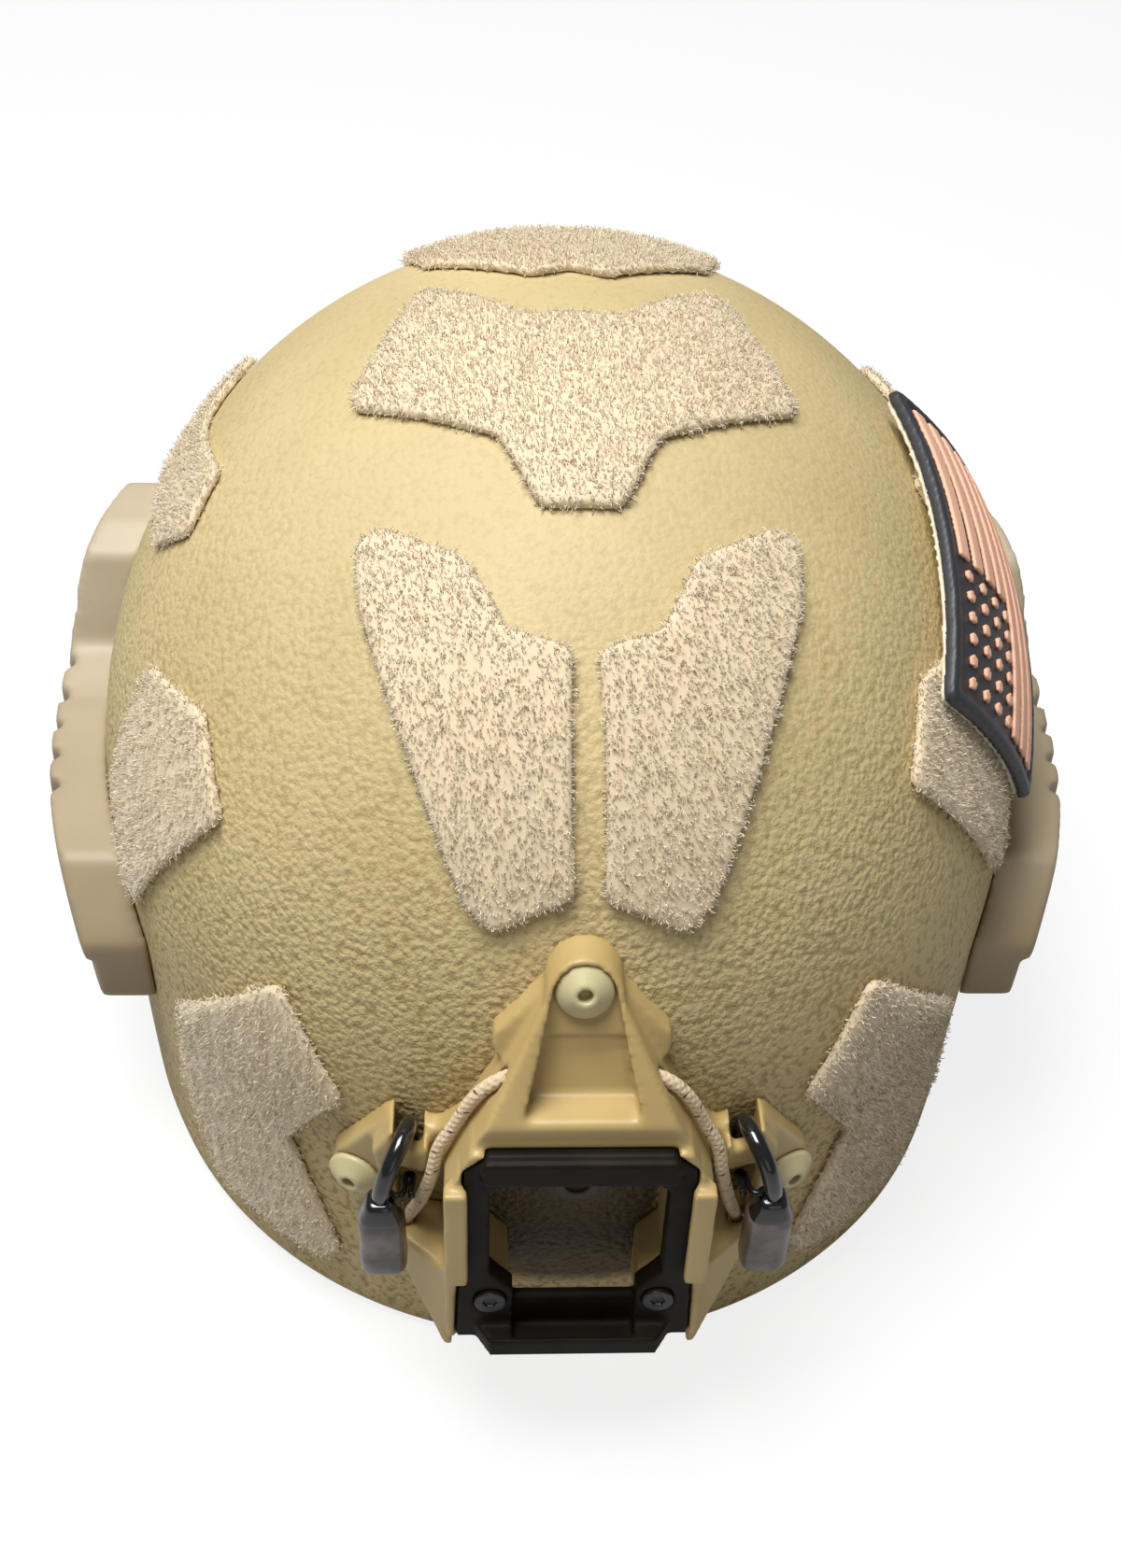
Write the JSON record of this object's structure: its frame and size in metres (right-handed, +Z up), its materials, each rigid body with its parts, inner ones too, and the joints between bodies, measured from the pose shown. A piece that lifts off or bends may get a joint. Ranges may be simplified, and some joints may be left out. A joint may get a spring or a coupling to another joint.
{
  "type": "combat helmet",
  "caption": "High-cut protective helmet with accessory rails, night-vision shroud, loop patches, padded liner, dial fit band and stowed chinstrap.",
  "frame": {"origin": "centre of the bounding box at the bottom, in the plane of the rim", "axes": "+Z up, -Y to the front where the shroud is, +X to the right as seen from the front"},
  "size_m": [0.251, 0.297, 0.191],
  "materials": {
    "shell_paint": "sand-tan sprayed composite with a fine raised orange-peel texture",
    "rail_plastic": "tan moulded nylon, smooth matte",
    "shroud_paint": "tan satin paint over aluminium",
    "insert_metal": "dark brown-black satin coat over steel",
    "dark_screw": "black oxide steel",
    "screw_metal": "khaki paint over steel screw heads",
    "nut_metal": "plain steel",
    "dark_rubber": "moulded dark rubber",
    "cord_braid": "beige braided elastic with dark flecks",
    "hook_black": "glossy black coating on thick wire and cap",
    "gate_wire": "thin blackened spring wire",
    "sleeve_rubber": "dark grey-brown sleeve",
    "loop_fabric": "pinkish tan loop pile",
    "hook_fabric": "pale hook backing with fuzz at its edge",
    "flag_rubber": "charcoal moulded rubber",
    "flag_print": "salmon raised rubber",
    "pad_cover": "dark brushed cloth over foam",
    "disc_fabric": "black hook disc",
    "dial_plastic": "black moulded nylon",
    "knob_rubber": "black ribbed rubber",
    "band_plastic": "black flexible nylon",
    "webbing": "tan nylon webbing",
    "cup_rubber": "dark soft rubber",
    "buckle_plastic": "black acetal"
  },
  "bodies": {
    "root": {"shell": "shell_paint", "rail_left": "rail_plastic", "rail_right": "rail_plastic", "rail_screws": "screw_metal", "rail_nuts": "nut_metal", "shroud_body": "shroud_paint", "shroud_insert": "insert_metal", "insert_screws": "dark_screw", "shroud_screws": "screw_metal", "shroud_nuts": "nut_metal", "stop_block": "dark_rubber", "cord_left": "cord_braid", "cord_right": "cord_braid", "crown_patch": "loop_fabric", "brow_patch_left": "loop_fabric", "brow_patch_right": "loop_fabric", "side_patch_left": "loop_fabric", "side_patch_right": "loop_fabric", "temple_patch_left": "loop_fabric", "temple_patch_right": "loop_fabric", "rear_side_patch_left": "loop_fabric", "rear_side_patch_right": "loop_fabric", "rear_crown_patch": "loop_fabric", "crown_pad": "pad_cover", "front_pad": "pad_cover", "rear_pad": "pad_cover", "side_pads_left": "pad_cover", "side_pads_right": "pad_cover", "hook_discs": "disc_fabric", "dial_housing": "dial_plastic", "nape_pad": "pad_cover", "nape_screw": "screw_metal", "front_strap_left": "webbing", "front_strap_right": "webbing", "rear_strap_left": "webbing", "rear_strap_right": "webbing", "strap_adjusters": "buckle_plastic", "chin_straps": "webbing", "chin_cup": "cup_rubber", "buckle_female": "buckle_plastic", "buckle_male": "buckle_plastic"},
    "flag": {"flag_backing": "hook_fabric", "flag_panel": "flag_rubber", "flag_relief": "flag_print"},
    "hook_left": {"hook_left": "hook_black", "ferrule_left": "sleeve_rubber"},
    "hook_right": {"hook_right": "hook_black", "ferrule_right": "sleeve_rubber"},
    "gate_left": {"gate_left": "gate_wire"},
    "gate_right": {"gate_right": "gate_wire"},
    "dial": {"dial_knob": "knob_rubber"},
    "arm_left": {"fit_arm_left": "band_plastic"},
    "arm_right": {"fit_arm_right": "band_plastic"},
    "prong_front": {"prong_front": "buckle_plastic"},
    "prong_rear": {"prong_rear": "buckle_plastic"}
  },
  "joints": [
    {"name": "flag_lift", "type": "slide", "parent": "root", "child": "flag", "axis": [0.8132, -0.1803, 0.5534], "range_m": [0, 0.03]},
    {"name": "hook_left_swing", "type": "hinge", "parent": "root", "child": "hook_left", "pos_m": [-0.033, -0.12846, 0.07695], "axis": [1, 0, 0], "range_deg": [-10, 0]},
    {"name": "hook_right_swing", "type": "hinge", "parent": "root", "child": "hook_right", "pos_m": [0.033, -0.12846, 0.07695], "axis": [1, 0, 0], "range_deg": [-10, 0]},
    {"name": "gate_left_swing", "type": "hinge", "parent": "hook_left", "child": "gate_left", "pos_m": [-0.0331, -0.13646, 0.0744], "axis": [1, 0, 0], "range_deg": [0, 12], "stiffness_Nm_per_rad": 0.004, "springref_deg": -11.46},
    {"name": "gate_right_swing", "type": "hinge", "parent": "hook_right", "child": "gate_right", "pos_m": [0.0331, -0.13646, 0.0744], "axis": [1, 0, 0], "range_deg": [0, 12], "stiffness_Nm_per_rad": 0.004, "springref_deg": -11.46},
    {"name": "dial_turn", "type": "hinge", "parent": "root", "child": "dial", "pos_m": [0, 0.11944, 0.031], "axis": [0, 1, 0], "range_deg": [0, 114]},
    {"name": "arm_left_slide", "type": "slide", "parent": "root", "child": "arm_left", "axis": [1, 0, 0], "range_m": [0, 0.012]},
    {"name": "arm_right_slide", "type": "slide", "parent": "root", "child": "arm_right", "axis": [1, 0, 0], "range_m": [-0.012, 0]},
    {"name": "prong_front_squeeze", "type": "hinge", "parent": "root", "child": "prong_front", "pos_m": [-0.0375, -0.04206, 0.0047], "axis": [0, 0, 1], "range_deg": [-7, 0], "stiffness_Nm_per_rad": 0.02, "springref_deg": 5.73},
    {"name": "prong_rear_squeeze", "type": "hinge", "parent": "root", "child": "prong_rear", "pos_m": [-0.0375, -0.02706, 0.0047], "axis": [0, 0, 1], "range_deg": [0, 7], "stiffness_Nm_per_rad": 0.02, "springref_deg": -5.73}
  ],
  "couplings": [
    {"joint": "arm_left_slide", "follows": "dial_turn", "m_per_rad": 0.006},
    {"joint": "arm_right_slide", "follows": "dial_turn", "m_per_rad": -0.006}
  ]
}
